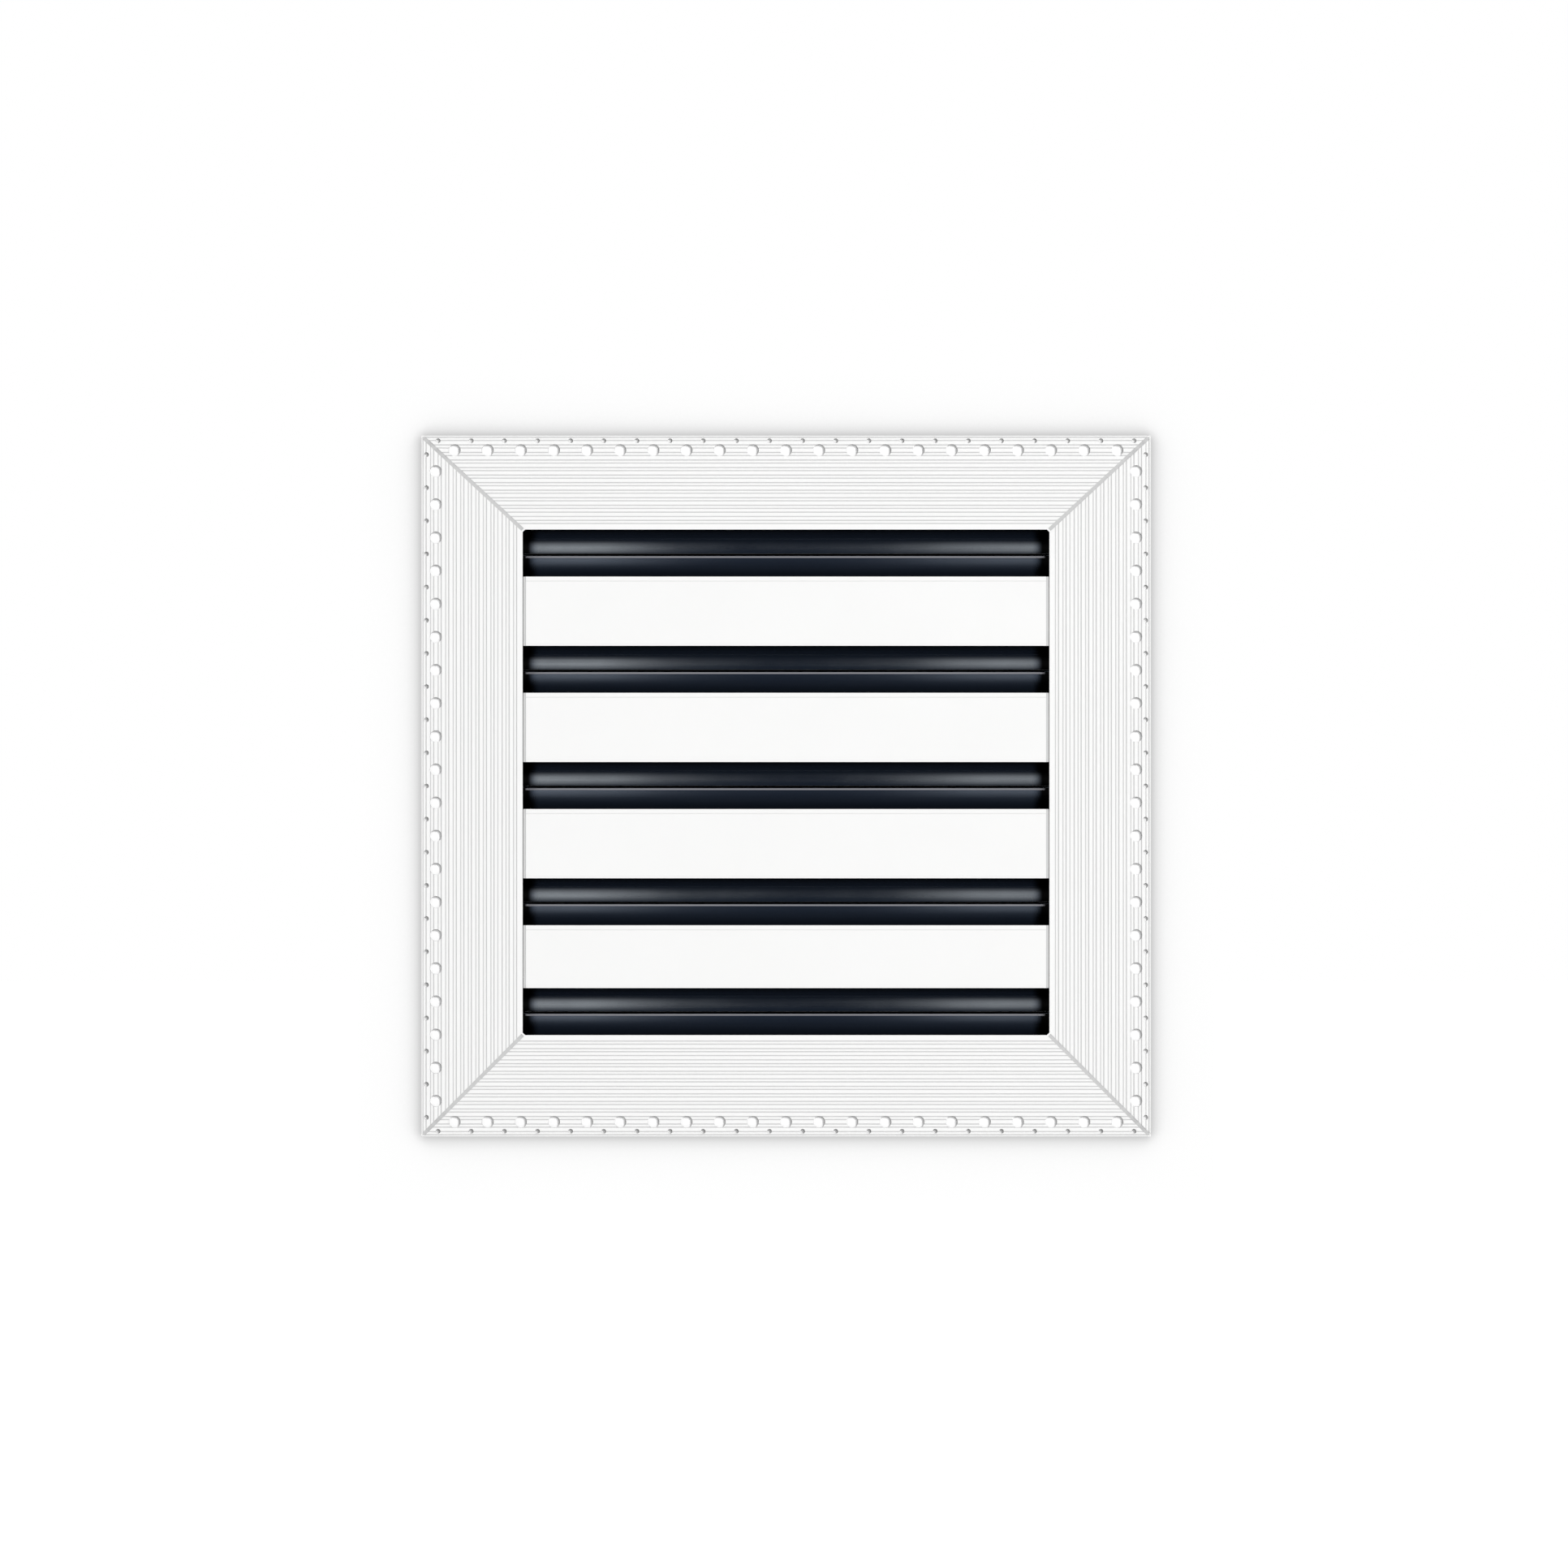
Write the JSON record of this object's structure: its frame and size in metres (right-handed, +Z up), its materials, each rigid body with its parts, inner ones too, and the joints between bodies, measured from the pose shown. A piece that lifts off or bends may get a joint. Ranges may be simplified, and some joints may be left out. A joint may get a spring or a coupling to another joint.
{
  "type": "linear slot diffuser",
  "caption": "Trimless air diffuser with a grooved, perforated plaster-in flange, parallel slots between flat bars, and a pair of hinged deflector blades in each slot.",
  "frame": {"origin": "middle of the flange's outer rectangle, on the wall's surface", "axes": "+X to the right and +Z up as seen from the room, +Y into the wall"},
  "size_m": [0.295, 0.034, 0.2834],
  "materials": {
    "white_coat": "satin",
    "black_coat": "matte",
    "blade_black": "satin",
    "bare_aluminium": "satin",
    "screw_steel": "satin"
  },
  "bodies": {
    "frame": {"flange_top": "white_coat", "flange_bottom": "white_coat", "flange_left": "white_coat", "flange_right": "white_coat", "corner_key_top_left": "bare_aluminium", "corner_key_top_right": "bare_aluminium", "corner_key_bottom_left": "bare_aluminium", "corner_key_bottom_right": "bare_aluminium", "rail_top": "black_coat", "rail_bottom": "black_coat", "end_cap_left": "black_coat", "end_cap_right": "black_coat", "mullion_1": "white_coat", "mullion_2": "white_coat", "mullion_3": "white_coat", "mullion_4": "white_coat", "key_screws": "screw_steel", "cap_screws": "screw_steel", "core_screws": "screw_steel"},
    "blade_1_upper": {"blade_1_upper": "blade_black"},
    "blade_1_lower": {"blade_1_lower": "blade_black"},
    "blade_2_upper": {"blade_2_upper": "blade_black"},
    "blade_2_lower": {"blade_2_lower": "blade_black"},
    "blade_3_upper": {"blade_3_upper": "blade_black"},
    "blade_3_lower": {"blade_3_lower": "blade_black"},
    "blade_4_upper": {"blade_4_upper": "blade_black"},
    "blade_4_lower": {"blade_4_lower": "blade_black"},
    "blade_5_upper": {"blade_5_upper": "blade_black"},
    "blade_5_lower": {"blade_5_lower": "blade_black"}
  },
  "joints": [
    {"name": "blade_1_upper_hinge", "type": "hinge", "parent": "frame", "child": "blade_1_upper", "pos_m": [0, 0.0075, 0.1052], "axis": [1, 0, 0], "range_deg": [0, 80]},
    {"name": "blade_1_lower_hinge", "type": "hinge", "parent": "frame", "child": "blade_1_lower", "pos_m": [0, 0.0075, 0.0832], "axis": [-1, 0, 0], "range_deg": [0, 80]},
    {"name": "blade_2_upper_hinge", "type": "hinge", "parent": "frame", "child": "blade_2_upper", "pos_m": [0, 0.0075, 0.0582], "axis": [1, 0, 0], "range_deg": [0, 80]},
    {"name": "blade_2_lower_hinge", "type": "hinge", "parent": "frame", "child": "blade_2_lower", "pos_m": [0, 0.0075, 0.0362], "axis": [-1, 0, 0], "range_deg": [0, 80]},
    {"name": "blade_3_upper_hinge", "type": "hinge", "parent": "frame", "child": "blade_3_upper", "pos_m": [0, 0.0075, 0.0112], "axis": [1, 0, 0], "range_deg": [0, 80]},
    {"name": "blade_3_lower_hinge", "type": "hinge", "parent": "frame", "child": "blade_3_lower", "pos_m": [0, 0.0075, -0.0108], "axis": [-1, 0, 0], "range_deg": [0, 80]},
    {"name": "blade_4_upper_hinge", "type": "hinge", "parent": "frame", "child": "blade_4_upper", "pos_m": [0, 0.0075, -0.0358], "axis": [1, 0, 0], "range_deg": [0, 80]},
    {"name": "blade_4_lower_hinge", "type": "hinge", "parent": "frame", "child": "blade_4_lower", "pos_m": [0, 0.0075, -0.0578], "axis": [-1, 0, 0], "range_deg": [0, 80]},
    {"name": "blade_5_upper_hinge", "type": "hinge", "parent": "frame", "child": "blade_5_upper", "pos_m": [0, 0.0075, -0.0802], "axis": [1, 0, 0], "range_deg": [0, 80]},
    {"name": "blade_5_lower_hinge", "type": "hinge", "parent": "frame", "child": "blade_5_lower", "pos_m": [0, 0.0075, -0.1022], "axis": [-1, 0, 0], "range_deg": [0, 80]}
  ]
}
